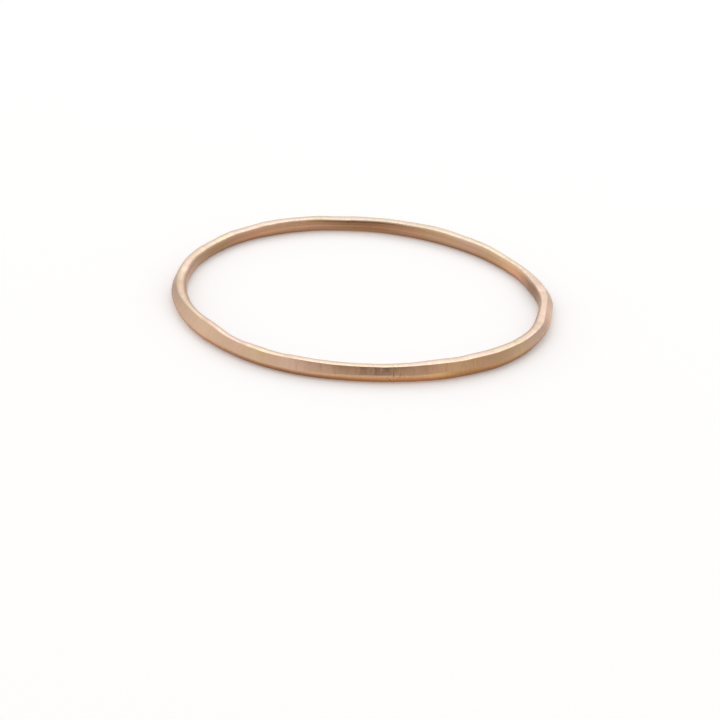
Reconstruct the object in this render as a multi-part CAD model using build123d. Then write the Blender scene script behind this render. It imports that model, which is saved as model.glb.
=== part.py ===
from build123d import *
import math
import os

# Stackable ring: one closed loop of slim, squarish gold wire, forged by hand and so a little uneven.
# Millimetres, +Z up. The ring lies on its side, with the origin on the finger hole's axis,
# in the plane of the flat underside.

# Driving sizes
hole_radius = 8.65  # finger hole, US size 7
wall = 0.73  # from the finger hole to the outside, mean
height = 0.75  # from the underside to the top, mean
dressing = 0.02  # metal reamed out of the hole and filed off the underside after forging

# The upper half of the outside leans in to a narrow top
shoulder_level = 0.36
lean = 0.17

# Radii of the wire's softened corners, in order round the section
rounds = {"inner_under": 0.24, "outer_under": 0.31, "shoulder": 0.20, "outer_top": 0.09, "inner_top": 0.29}

# What the hammer left, as waves round the band. Each has its number in one turn, its swell
# to each side of the mean, and the direction of a crest, in degrees from +X towards +Y.
outline_waves = [
    {"in_turn": 2, "swell": 0.05, "crest": 10},
    {"in_turn": 3, "swell": 0.10, "crest": -13},
    {"in_turn": 4, "swell": 0.035, "crest": -31},
]
thickness_waves = [
    {"in_turn": 1, "swell": 0.065, "crest": -80},
    {"in_turn": 2, "swell": 0.035, "crest": -70},
    {"in_turn": 3, "swell": 0.025, "crest": -46},
    {"in_turn": 6, "swell": 0.025, "crest": -54},
]

# Patches that it left different. Each adds to some of the sizes above at its direction,
# and fades out to each side within about its spread, in degrees.
forged_patches = [
    {"direction": -90, "spread": 60, "shoulder": -0.14, "outer_top": -0.05},
    {"direction": -70, "spread": 26, "shoulder_level": 0.09},
    {"direction": -15, "spread": 12, "wall": -0.05, "shoulder_level": 0.15, "outer_under": 0.12},
    {"direction": 2, "spread": 24, "inner_top": -0.15},
    {"direction": 3, "spread": 13, "lean": 0.23, "shoulder": -0.06},
    {"direction": 11, "spread": 12, "wall": 0.05},
    {"direction": 90, "spread": 60, "height": -0.03, "lean": -0.11, "inner_top": -0.13},
]

stations_in_half = 12  # spaces between the sections that each half of the wire is lofted through
half_turn = 180
clear = 5  # how far the cutting tools run past the ring


def swell(waves, angle):
    # How far the waves together stand from the mean at this direction.
    return sum(w["swell"] * math.cos(w["in_turn"] * math.radians(angle - w["crest"])) for w in waves)


def forged(size, angle):
    # How much the patches together add to one size at this direction.
    added = 0
    for patch in forged_patches:
        away = (angle - patch["direction"] + half_turn) % (2 * half_turn) - half_turn
        added += patch.get(size, 0) * math.exp(-((away / patch["spread"]) ** 2))
    return added


def section_corners(angle):
    # The section's sharp corners, each as (radius, level), with the radius that softens it.
    thickness = swell(thickness_waves, angle)
    inside = hole_radius - dressing
    outside = hole_radius + wall + swell(outline_waves, angle) + thickness + forged("wall", angle)
    shoulder = shoulder_level + forged("shoulder_level", angle)
    top = height + thickness + forged("height", angle)
    top_edge = outside - lean - forged("lean", angle)
    spots = [(inside, -dressing), (outside, -dressing), (outside, shoulder), (top_edge, top), (inside, top)]
    softened = [rounding + forged(name, angle) for name, rounding in rounds.items()]
    return [(Vector(radius, 0, level), rounding) for (radius, level), rounding in zip(spots, softened)]


def rounded_corner(before, corner, after, rounding):
    # Start, middle and end of the arc that touches both sides of a corner.
    back = (before - corner).normalized()
    on = (after - corner).normalized()
    half_angle = math.radians(back.get_angle(on)) / 2
    to_centre = (back + on).normalized()
    reach = rounding / math.tan(half_angle)
    to_arc = rounding / math.sin(half_angle) - rounding
    return corner + back * reach, corner + to_centre * to_arc, corner + on * reach


def wire_section(angle):
    # The softened section of the wire, stood up in this direction from the hole's axis.
    corners = section_corners(angle)
    arcs = []
    for number, (corner, rounding) in enumerate(corners):
        before = corners[number - 1][0]
        after = corners[(number + 1) % len(corners)][0]
        points = rounded_corner(before, corner, after, rounding)
        arcs.append(Edge.make_three_point_arc(*(point.rotate(Axis.Z, angle) for point in points)))
    sides = [Edge.make_line(arcs[number - 1] @ 1, arcs[number] @ 0) for number in range(len(arcs))]
    return Wire(arcs + sides)


def forged_half(start):
    # Half of the loop, lofted smoothly through its sections.
    step = half_turn / stations_in_half
    sections = [wire_section(start + step * station) for station in range(stations_in_half + 1)]
    return Solid.make_loft(sections)


def make_ring_band():
    # The wire closed into a loop, with its hole reamed round and its underside filed flat.
    loop = forged_half(0) + forged_half(half_turn)
    reamer = Cylinder(hole_radius, height + 2 * clear)
    file_cut = Pos(0, 0, -clear) * Box(2 * (hole_radius + clear), 2 * (hole_radius + clear), 2 * clear)
    return loop - reamer - file_cut


os.makedirs("parts", exist_ok=True)
export_step(make_ring_band(), "parts/ring_band.step")
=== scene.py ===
import math

import bpy
from mathutils import Matrix, Vector, noise


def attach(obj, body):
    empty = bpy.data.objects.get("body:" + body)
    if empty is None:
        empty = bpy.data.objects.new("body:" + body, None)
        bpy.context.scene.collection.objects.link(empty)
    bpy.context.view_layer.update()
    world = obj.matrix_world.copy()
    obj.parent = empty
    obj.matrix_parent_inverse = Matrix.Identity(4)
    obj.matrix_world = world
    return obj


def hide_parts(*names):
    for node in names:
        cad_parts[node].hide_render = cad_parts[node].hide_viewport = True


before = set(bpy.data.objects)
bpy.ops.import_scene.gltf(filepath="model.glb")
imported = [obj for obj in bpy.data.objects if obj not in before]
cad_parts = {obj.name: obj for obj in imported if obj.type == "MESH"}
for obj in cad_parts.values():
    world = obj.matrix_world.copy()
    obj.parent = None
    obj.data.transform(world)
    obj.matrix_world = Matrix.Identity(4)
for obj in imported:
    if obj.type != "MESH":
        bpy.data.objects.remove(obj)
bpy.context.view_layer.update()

mm = 0.001  # everything in Blender is in metres


def mixColours(tree, factor, first, second, blend="MIX"):
    # each is a value or comes from another node
    node = tree.nodes.new("ShaderNodeMix")
    node.data_type = "RGBA"
    node.blend_type = blend
    for name, value in (("Factor", factor), ("A", first), ("B", second)):
        if isinstance(value, bpy.types.NodeSocket):
            tree.links.new(value, node.inputs[name])
        else:
            node.inputs[name].default_value = value
    return node.outputs["Result"]


def swell(waves, turn):
    # how far the waves together stand from the mean in this direction
    return sum(
        size * math.cos(count * (turn - math.radians(crest))) for count, size, crest in waves)


# lengths in mm
band = {
    "faces": ("under", "lowerOutside", "upperOutside", "top", "inside"),
    "holeRadius": 8.65,
    "wall": 0.73,
    "height": 0.75,
    # each wave: how many in one turn, swell, direction of a crest in degrees
    "outlineWaves": [(2, 0.05, 10), (3, 0.10, -13), (4, 0.035, -31)],
    "thicknessWaves": [(1, 0.065, -80), (2, 0.035, -70), (3, 0.025, -46), (6, 0.025, -54)],
    "shoulderLevel": 0.36,
    "shoulderLean": 0.17,    # how far the upper half of the outside leans in
    # how far each corner is softened, in order round the wire
    "rounds": {
        "innerUnder": 0.24,
        "outerUnder": 0.31,
        "shoulder": 0.20,
        "outerTop": 0.09,
        "innerTop": 0.29,
    },
    # where the hammer left it different: direction and spread in degrees, then what is added
    "forgedPatches": [
        {"direction": -90, "spread": 60, "shoulder": -0.14, "outerTop": -0.05, "innerTop": 0.02},
        {"direction": -70, "spread": 26, "shoulderLevel": 0.09},
        {"direction": 90, "spread": 60, "wall": -0.02, "height": -0.03, "lean": -0.11,
         "outerTop": 0.04, "innerTop": -0.13},
        {"direction": 134, "spread": 12, "height": -0.04},
        {"direction": 2, "spread": 24, "lean": 0.09, "shoulder": 0.06, "innerTop": -0.15},
        {"direction": 9, "spread": 10, "wall": 0.10, "lean": 0.05},
        {"direction": -4, "spread": 7, "wall": -0.09, "shoulder": -0.10},
        {"direction": -10, "spread": 7, "lean": 0.11, "hole": -0.08},
        {"direction": -15, "spread": 12, "wall": -0.05, "lean": -0.05, "shoulderLevel": 0.15,
         "outerUnder": 0.12},
        {"direction": -144, "spread": 10, "height": 0.09, "lean": 0.13, "hole": -0.12,
         "outerTop": 0.05},
        {"direction": -153, "spread": 12, "lean": 0.09},
        {"direction": 182, "spread": 10, "lean": -0.04, "outerTop": 0.12},
    ],
    # how far each face bulges
    "crowns": {
        "under": 0.0,
        "lowerOutside": 0.006,
        "upperOutside": 0.004,
        "top": 0.006,
        "inside": 0.030,
    },
    "hammerDepth": 0.045,    # the slow unevenness along the band
    "hammerLength": 1.7,
    "planishDepth": 0.010,   # the quick unevenness of the last light blows
    "planishLength": 0.45,
    "planishLane": 10,
    "laneGap": 7.3,          # how far apart the lanes are in the noise
    "stations": 1200,
    "faceSteps": 4,
    "cornerSteps": 7,
}


def unevenness(turn, lane, length, depth):
    # seamless round the band, and a different run for each lane
    reach = band["holeRadius"] / length
    spot = Vector((reach * math.cos(turn), reach * math.sin(turn), band["laneGap"] * lane))
    return depth * noise.noise(spot)


def fade(turn, patch):
    # 1 in the middle of a patch, fading out with distance from its direction
    away = math.remainder(turn - math.radians(patch["direction"]), 2 * math.pi)
    return math.exp(-(away / math.radians(patch["spread"])) ** 2)


def sectionCorners(turn):
    # sharp corners of the section as (radius, level), in mm, each with its rounding
    hammer = [
        unevenness(turn, lane, band["hammerLength"], band["hammerDepth"])
        + unevenness(turn, lane + band["planishLane"], band["planishLength"], band["planishDepth"])
        for lane in range(len(band["rounds"]))
    ]

    def forged(name, value):
        patches = band["forgedPatches"]
        return value + sum(patch.get(name, 0) * fade(turn, patch) for patch in patches)

    outline = swell(band["outlineWaves"], turn)
    thickness = swell(band["thicknessWaves"], turn)
    inside = forged("hole", band["holeRadius"]) + outline + hammer[0]
    outside = band["holeRadius"] + forged("wall", band["wall"]) + outline + thickness + hammer[1]
    top = forged("height", band["height"]) + thickness + hammer[2]
    lean = forged("lean", band["shoulderLean"]) + hammer[3]
    spots = [
        (inside, 0),
        (outside, 0),
        (outside, forged("shoulderLevel", band["shoulderLevel"]) + hammer[4]),
        (outside - lean, top),
        (inside, top),
    ]
    rounds = [forged(name, rounding) for name, rounding in band["rounds"].items()]
    return [(Vector(spot), rounding) for spot, rounding in zip(spots, rounds)]


def paintedFaceTones(turn):
    # the painted light and shade of each face in this direction, against the gold itself
    paintedTones = {face: Vector(paintedTone) for face, paintedTone in gold["paintedTones"].items()}
    # patches of painted highlight, shade and reflection on top of that
    for patch in gold["paintedTonePatches"]:
        for face in patch["faces"]:
            paintedTones[face] *= Vector((1, 1, 1)).lerp(Vector(patch["paintedTone"]), fade(turn, patch))
    return paintedTones


def paintedToneShare(before, after, share):
    # how far a corner has taken on the painted light and shade of its second face, at this share of
    # the way round it
    if before == "under":
        return share ** gold["underReach"]
    if after == "under":
        return 1 - (1 - share) ** gold["underReachInside"]
    if after == "inside":
        return 1 - (1 - share) ** gold["insideReach"]
    return share


def patchStrength(patches, turn):
    return sum(patch["strength"] * fade(turn, patch) for patch in patches)


def wireSection(turn):
    # closed list round the wire of (radius, level, face before, face after, share), lengths in mm
    corners = sectionCorners(turn)
    faces = band["faces"]
    arcs = []
    for number, (here, rounding) in enumerate(corners):
        back = (corners[number - 1][0] - here).normalized()
        on = (corners[(number + 1) % len(corners)][0] - here).normalized()
        half = back.angle(on) / 2
        centre = here + (back + on).normalized() * rounding / math.sin(half)
        start = here + back * rounding / math.tan(half) - centre
        first = math.atan2(start.y, start.x)
        arc = []
        for step in range(band["cornerSteps"]):
            share = step / (band["cornerSteps"] - 1)
            angle = first + share * (math.pi - 2 * half)
            spot = centre + rounding * Vector((math.cos(angle), math.sin(angle)))
            arc.append((*spot, faces[number - 1], faces[number], share))
        arcs.append(arc)
    section = []
    for number, arc in enumerate(arcs):
        section += arc
        start = Vector(arc[-1][:2])
        along = Vector(arcs[(number + 1) % len(arcs)][0][:2]) - start
        outward = Vector((along.y, -along.x)).normalized() * band["crowns"][faces[number]]
        for step in range(1, band["faceSteps"] + 1):
            share = step / (band["faceSteps"] + 1)
            spot = start + share * along + outward * math.sin(share * math.pi)
            section.append((*spot, faces[number], faces[number], 0.0))
    return section


def makeBand():
    vertices, paintedTones, marks, paintedGlints, lays = [], [], [], [], []
    stations = band["stations"]
    for station in range(stations):
        turn = 2 * math.pi * station / stations
        section = wireSection(turn)
        paintedToneOf = paintedFaceTones(turn)
        filed = gold["marksEverywhere"] + patchStrength(gold["markPatches"], turn)
        # how strong the painted glints, painted highlights, are here
        bright = gold["paintedGlintsEverywhere"] + patchStrength(gold["paintedGlintPatches"], turn)
        across, along = math.cos(turn), math.sin(turn)
        for radius, level, before, after, share in section:
            vertices.append((radius * across * mm, radius * along * mm, level * mm))
            # each point takes the painted light and shade of its faces, blended round the corners
            paintedTones += [*paintedToneOf[before].lerp(paintedToneOf[after], paintedToneShare(before, after, share)), 1.0]
            marked = (1 - share) * gold["marksOn"][before] + share * gold["marksOn"][after]
            marks.append(filed * marked)
            paintedGlints.append(bright * marked)
            # round the band, and across the wire, for the grain to follow
            lays += [band["holeRadius"] * across, band["holeRadius"] * along, radius + level]
    count = len(section)
    faces = []
    for station in range(stations):
        here, there = station * count, (station + 1) % stations * count
        for step in range(count):
            after = (step + 1) % count
            faces.append((here + step, there + step, there + after, here + after))
    mesh = bpy.data.meshes.new("hammeredBand")
    mesh.from_pydata(vertices, [], faces)
    mesh.polygons.foreach_set("use_smooth", [True] * len(mesh.polygons))
    # what the gold reads off the band
    mesh.attributes.new("fileMarks", "FLOAT", "POINT").data.foreach_set("value", marks)
    # the painted glints, highlights painted into the colour
    mesh.attributes.new("paintedFileGlints", "FLOAT", "POINT").data.foreach_set("value", paintedGlints)
    # the painted light and shade of each face
    mesh.attributes.new("paintedFaceTone", "FLOAT_COLOR", "POINT").data.foreach_set("color", paintedTones)
    mesh.attributes.new("layOfBand", "FLOAT_VECTOR", "POINT").data.foreach_set("vector", lays)
    mesh.update()
    mesh.validate()
    piece = bpy.data.objects.new("hammeredBand", mesh)
    bpy.context.collection.objects.link(piece)
    return piece


wholeOutside = ("lowerOutside", "upperOutside")

gold = {
    "rose": (0.670, 0.445, 0.340, 1),
    "yellow": (0.640, 0.458, 0.295, 1),
    "roughness": 0.36,
    "roughnessSwing": 0.10,
    # light and shade painted on each face, against the gold itself: the top paler as a painted
    # highlight, the underside and inside darker as painted shade and reflected gold, the lower
    # outside warmer as reflected gold
    "paintedTones": {
        "under": (0.60, 0.42, 0.27),
        "lowerOutside": (1.04, 0.96, 0.87),
        "upperOutside": (1.00, 1.00, 1.00),
        "top": (1.01, 1.13, 1.22),
        "inside": (0.84, 0.76, 0.67),
    },
    # how far round their corners the painted shade of the underside and the inside reaches, larger
    # is farther
    "underReach": 10,
    "underReachInside": 6,
    "insideReach": 1.6,
    # where faces are painted lighter or darker still, as painted highlights, shade and reflections:
    # direction and spread in degrees
    "paintedTonePatches": [
        {"faces": ("lowerOutside",), "direction": -46, "spread": 24, "paintedTone": (0.78, 0.68, 0.50)},
        {"faces": ("lowerOutside",), "direction": -58, "spread": 11, "paintedTone": (0.88, 0.87, 0.70)},
        {"faces": ("lowerOutside",), "direction": -66, "spread": 5, "paintedTone": (1.24, 1.26, 1.18)},
        {"faces": ("lowerOutside",), "direction": -84, "spread": 20, "paintedTone": (0.94, 0.91, 0.90)},
        {"faces": ("lowerOutside",), "direction": -107, "spread": 11, "paintedTone": (1.02, 1.04, 1.08)},
        {"faces": ("upperOutside",), "direction": -50, "spread": 20, "paintedTone": (0.78, 0.71, 0.57)},
        {"faces": ("upperOutside",), "direction": -60, "spread": 6, "paintedTone": (1.14, 1.15, 1.10)},
        {"faces": ("upperOutside",), "direction": -74, "spread": 12, "paintedTone": (0.93, 0.97, 1.03)},
        {"faces": ("upperOutside",), "direction": -92, "spread": 10, "paintedTone": (1.10, 1.11, 1.13)},
        {"faces": ("upperOutside",), "direction": -107, "spread": 11, "paintedTone": (1.10, 1.24, 1.44)},
        {"faces": wholeOutside, "direction": -7, "spread": 8, "paintedTone": (1.52, 1.45, 1.43)},
        {"faces": wholeOutside, "direction": -8, "spread": 22, "paintedTone": (0.80, 0.79, 0.82)},
        {"faces": wholeOutside, "direction": -136, "spread": 12, "paintedTone": (0.95, 0.97, 0.87)},
        {"faces": wholeOutside, "direction": -142, "spread": 6, "paintedTone": (1.08, 1.07, 1.11)},
        {"faces": wholeOutside, "direction": 183, "spread": 16, "paintedTone": (0.60, 0.53, 0.51)},
        {"faces": ("under",), "direction": -76, "spread": 20, "paintedTone": (1.50, 1.38, 1.05)},
        {"faces": ("under",), "direction": -155, "spread": 26, "paintedTone": (1.50, 1.80, 2.40)},
        {"faces": ("under",), "direction": 95, "spread": 26, "paintedTone": (1.40, 1.55, 1.75)},
        {"faces": ("top",), "direction": 0, "spread": 20, "paintedTone": (0.92, 0.88, 0.92)},
        {"faces": ("top",), "direction": 90, "spread": 70, "paintedTone": (0.91, 0.95, 1.00)},
        {"faces": ("top",), "direction": 177, "spread": 7, "paintedTone": (1.12, 1.16, 1.09)},
        {"faces": ("top",), "direction": 190, "spread": 8, "paintedTone": (0.85, 0.79, 0.75)},
        {"faces": ("top",), "direction": 214, "spread": 8, "paintedTone": (1.09, 1.05, 1.05)},
        {"faces": ("inside",), "direction": 12, "spread": 12, "paintedTone": (0.54, 0.44, 0.36)},
        {"faces": ("inside",), "direction": 29, "spread": 9, "paintedTone": (1.42, 1.32, 1.22)},
        {"faces": ("inside",), "direction": 58, "spread": 12, "paintedTone": (1.04, 1.06, 1.12)},
        {"faces": ("inside",), "direction": 90, "spread": 16, "paintedTone": (0.66, 0.60, 0.52)},
        {"faces": ("inside",), "direction": 132, "spread": 10, "paintedTone": (1.14, 1.04, 1.00)},
        {"faces": ("inside",), "direction": 148, "spread": 18, "paintedTone": (0.80, 0.75, 0.68)},
    ],
    # where the file marks show: how much on each face, everywhere a little, and more in patches
    "marksOn": {"under": 0.4, "lowerOutside": 0.7, "upperOutside": 1.0, "top": 0.3, "inside": 0.5},
    "marksEverywhere": 0.16,
    "markPatches": [
        {"direction": -82, "spread": 6, "strength": 1.0},
        {"direction": -64, "spread": 14, "strength": 0.3},
        {"direction": -100, "spread": 10, "strength": 0.12},
    ],
    # where painted glints brighten the colour along the file strokes, as painted highlights
    "paintedGlintsEverywhere": 0.1,
    "paintedGlintPatches": [
        {"direction": -58, "spread": 14, "strength": 0.8},
        {"direction": -92, "spread": 14, "strength": 0.4},
    ],
    # each noise: stretch across the wire, scale, detail, roughness, and the levels it runs between
    "grains": {
        "drift": (1.0, 0.7, 3, 0.55, 0.35, 0.65),       # from rose to yellow
        "lines": (0.10, 8, 4, 0.65, 0.3, 0.7),          # that the abrasive left across the wire
        "scratches": (0.22, 13, 2, 0.6, 0.58, 0.72),
        "pits": (0.8, 12, 2, 0.6, 0.64, 0.72),
        "paintedGlints": (0.14, 9, 2, 0.6, 0.56, 0.70),
    },
    "lineDepth": 0.008,      # mm
    "lineStrength": 0.35,    # where nothing is marked
    "linesFullAt": 0.8,      # how marked the gold is where the lines are at full depth
    "scratchDepth": 0.01,    # mm
    # the colour the scratches and pits are darkened by
    "darkInMarks": (0.54, 0.46, 0.40, 1),
    # the colour the painted glints multiply in, a painted highlight
    "paintedGlint": (1.25, 1.20, 1.10, 1),
}


def satinGold():
    material = bpy.data.materials.new("satinGold")
    material.use_nodes = True
    nodes, links = material.node_tree.nodes, material.node_tree.links
    shader = nodes["Principled BSDF"]
    shader.inputs["Metallic"].default_value = 1.0

    def attribute(name, output):
        node = nodes.new("ShaderNodeAttribute")
        node.attribute_name = name
        return node.outputs[output]

    def spread(value, low, high, toLow=0.0, toHigh=1.0):
        node = nodes.new("ShaderNodeMapRange")
        node.inputs["From Min"].default_value = low
        node.inputs["From Max"].default_value = high
        node.inputs["To Min"].default_value = toLow
        node.inputs["To Max"].default_value = toHigh
        links.new(value, node.inputs["Value"])
        return node.outputs["Result"]

    def grain(name):
        # the noise in the lay of the band, and the two levels it runs between
        stretch, scale, detail, roughness, low, high = gold["grains"][name]
        across = nodes.new("ShaderNodeVectorMath")
        across.operation = "MULTIPLY"
        across.inputs[1].default_value = (1, 1, stretch)
        links.new(lay, across.inputs[0])
        node = nodes.new("ShaderNodeTexNoise")
        node.inputs["Scale"].default_value = scale
        node.inputs["Detail"].default_value = detail
        node.inputs["Roughness"].default_value = roughness
        links.new(across.outputs["Vector"], node.inputs["Vector"])
        return node.outputs["Fac"], low, high

    def combine(operation, first, second):
        node = nodes.new("ShaderNodeMath")
        node.operation = operation
        links.new(first, node.inputs[0])
        links.new(second, node.inputs[1])
        return node.outputs["Value"]

    lay = attribute("layOfBand", "Vector")
    marked = attribute("fileMarks", "Fac")
    paintedGlintMask = attribute("paintedFileGlints", "Fac")
    paintedTone = attribute("paintedFaceTone", "Color")

    lines = grain("lines")
    scratches = combine("MULTIPLY", spread(*grain("scratches")), marked)
    pits = combine("MULTIPLY", spread(*grain("pits")), marked)
    worn = combine("MAXIMUM", scratches, pits)
    # painted glints: highlights painted into the colour where the file marks are
    paintedGlints = combine("MULTIPLY", spread(*grain("paintedGlints")), paintedGlintMask)

    tree = material.node_tree
    base = mixColours(tree, spread(*grain("drift")), gold["rose"], gold["yellow"])
    # the painted light and shade of each face, multiplied into the gold
    withPaintedTone = mixColours(tree, 1.0, base, paintedTone, "MULTIPLY")
    # paler where the painted glints stand in for highlights
    paintedGlintColour = mixColours(tree, 1.0, withPaintedTone, gold["paintedGlint"], "MULTIPLY")
    # darker in the scratches and pits
    darkenedInMarks = mixColours(tree, 1.0, withPaintedTone, gold["darkInMarks"], "MULTIPLY")
    withPaintedGlints = mixColours(tree, paintedGlints, withPaintedTone, paintedGlintColour)
    links.new(mixColours(tree, worn, withPaintedGlints, darkenedInMarks), shader.inputs["Base Color"])

    smoothest = gold["roughness"] - gold["roughnessSwing"]
    roughest = gold["roughness"] + gold["roughnessSwing"]
    links.new(spread(*lines, smoothest, roughest), shader.inputs["Roughness"])

    fineBump = nodes.new("ShaderNodeBump")
    fineBump.inputs["Distance"].default_value = gold["lineDepth"] * mm
    strength = spread(marked, 0.0, gold["linesFullAt"], gold["lineStrength"], 1.0)
    links.new(strength, fineBump.inputs["Strength"])
    links.new(lines[0], fineBump.inputs["Height"])
    deepBump = nodes.new("ShaderNodeBump")
    deepBump.invert = True
    deepBump.inputs["Distance"].default_value = gold["scratchDepth"] * mm
    links.new(worn, deepBump.inputs["Height"])
    links.new(fineBump.outputs["Normal"], deepBump.inputs["Normal"])
    links.new(deepBump.outputs["Normal"], shader.inputs["Normal"])
    return material


# lengths in metres
studio = {
    "floorSize": 1.6,
    "floorLevel": -0.01 * mm,               # just below the ring
    "floorColour": (0.92, 0.92, 0.93, 1),
    "floorRoughness": 0.9,
    "floorLift": 0.22,                      # brings the floor up to white where it is seen
    "boxPlace": (0.065, 0.360, 0.340),
    "boxSize": 0.30,
    "boxPower": 0.40,
    "roomLeft": (0.98, 0.98, 0.98, 1),
    "roomRight": (0.76, 0.76, 0.76, 1),
    "roomInFront": (0.80, 0.62, 0.47, 1),   # warm and dimmer where the maker stands
    "frontFrom": -0.1,                      # 0 is beside the ring, -1 straight in front
    "frontTo": -1.0,
    "darkSpot": (0.12, 0.10, 0.09, 1),      # an unlit opening, in front and above
    "darkRise": 42,                         # its middle, in degrees up and round
    "darkTurn": -85,
    "darkFrom": 34,                         # degrees from its middle where the dark begins
    "darkTo": 16,                           # and where it is full
}


def pointAt(thing, target, roll=0.0):
    look = (Vector(target) - thing.location).to_track_quat("-Z", "Y")
    thing.rotation_euler = (look.to_matrix().to_4x4() @ Matrix.Rotation(roll, 4, "Z")).to_euler()


def makeFloor():
    half = studio["floorSize"] / 2
    around = ((-half, -half), (half, -half), (half, half), (-half, half))
    corners = [(x, y, studio["floorLevel"]) for x, y in around]
    mesh = bpy.data.meshes.new("whiteTable")
    mesh.from_pydata(corners, [], [(0, 1, 2, 3)])
    floor = bpy.data.objects.new("whiteTable", mesh)
    bpy.context.collection.objects.link(floor)
    material = bpy.data.materials.new("whiteTable")
    material.use_nodes = True
    nodes, links = material.node_tree.nodes, material.node_tree.links
    shader = nodes["Principled BSDF"]
    shader.inputs["Base Color"].default_value = studio["floorColour"]
    shader.inputs["Roughness"].default_value = studio["floorRoughness"]
    shader.inputs["Specular IOR Level"].default_value = 0.0
    shader.inputs["Emission Color"].default_value = (1, 1, 1, 1)
    # lifted for the camera and for what the gold mirrors alone
    rays = nodes.new("ShaderNodeLightPath")
    seen = rays.outputs["Is Camera Ray"]
    for output in ("Is Glossy Ray", "Is Transmission Ray"):
        either = nodes.new("ShaderNodeMath")
        either.operation = "MAXIMUM"
        links.new(seen, either.inputs[0])
        links.new(rays.outputs[output], either.inputs[1])
        seen = either.outputs["Value"]
    lift = nodes.new("ShaderNodeMath")
    lift.operation = "MULTIPLY"
    lift.inputs[1].default_value = studio["floorLift"]
    links.new(seen, lift.inputs[0])
    links.new(lift.outputs["Value"], shader.inputs["Emission Strength"])
    mesh.materials.append(material)


def makeSoftBox():
    lamp = bpy.data.lights.new("softBoxBehind", "AREA")
    lamp.size = studio["boxSize"]
    lamp.energy = studio["boxPower"]
    box = bpy.data.objects.new("softBoxBehind", lamp)
    box.location = studio["boxPlace"]
    bpy.context.collection.objects.link(box)
    pointAt(box, (0, 0, 0))


def makeRoom():
    world = bpy.data.worlds.new("studioRoom")
    bpy.context.scene.world = world
    world.use_nodes = True
    nodes, links = world.node_tree.nodes, world.node_tree.links

    def smooth(value, low, high):
        # 0 at the low end to 1 at the high one, easing in and out
        node = nodes.new("ShaderNodeMapRange")
        node.interpolation_type = "SMOOTHSTEP"
        node.inputs["From Min"].default_value = low
        node.inputs["From Max"].default_value = high
        links.new(value, node.inputs["Value"])
        return node.outputs["Result"]

    direction = nodes.new("ShaderNodeTexCoord").outputs["Generated"]
    parts = nodes.new("ShaderNodeSeparateXYZ")
    links.new(direction, parts.inputs["Vector"])
    tree = world.node_tree
    right = smooth(parts.outputs["X"], -1, 1)
    walls = mixColours(tree, right, studio["roomLeft"], studio["roomRight"])
    front = smooth(parts.outputs["Y"], studio["frontFrom"], studio["frontTo"])
    room = mixColours(tree, front, walls, studio["roomInFront"])

    rise, aside = math.radians(studio["darkRise"]), math.radians(studio["darkTurn"])
    toDark = nodes.new("ShaderNodeVectorMath")
    toDark.operation = "DOT_PRODUCT"
    toDark.inputs[1].default_value = (
        math.cos(rise) * math.cos(aside), math.cos(rise) * math.sin(aside), math.sin(rise))
    links.new(direction, toDark.inputs[0])
    begins, full = (math.cos(math.radians(studio[name])) for name in ("darkFrom", "darkTo"))
    dark = smooth(toDark.outputs["Value"], begins, full)
    withDark = mixColours(tree, dark, room, studio["darkSpot"])
    links.new(withDark, nodes["Background"].inputs["Color"])


camera = {
    "distance": 180 * mm,      # from the middle of the ring
    "elevation": 24.3,
    "tilt": 4.2,               # the right end sits lower
    "lens": 182.6,             # with the sensor, in mm of film
    "sensor": 36,
    "nearest": 10 * mm,        # what the camera sees, from here
    "farthest": 5000 * mm,     # to here
    "aimBelow": 2.85 * mm,     # the axis passes this far below the middle of the ring
    "aimLeft": 0.06 * mm,
}


def makeCamera():
    data = bpy.data.cameras.new("camera")
    data.lens = camera["lens"]
    data.sensor_width = camera["sensor"]
    data.clip_start = camera["nearest"]
    data.clip_end = camera["farthest"]
    eye = bpy.data.objects.new("camera", data)
    bpy.context.collection.objects.link(eye)
    rise = math.radians(camera["elevation"])
    eye.location = camera["distance"] * Vector((0, -math.cos(rise), math.sin(rise)))
    roll = math.radians(camera["tilt"])
    pointAt(eye, (0, 0, 0), roll)
    turned = eye.rotation_euler.to_matrix()
    aim = -(turned @ Vector((camera["aimLeft"], camera["aimBelow"], 0)))
    pointAt(eye, aim, roll)
    bpy.context.scene.camera = eye


print("floor, lights and camera")
makeFloor()
makeSoftBox()
makeRoom()
makeCamera()
bpy.context.scene.view_settings.view_transform = "Standard"

print("band")
hammeredBand = makeBand()
hammeredBand.data.materials.append(satinGold())
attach(hammeredBand, "root")
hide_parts("ring_band")
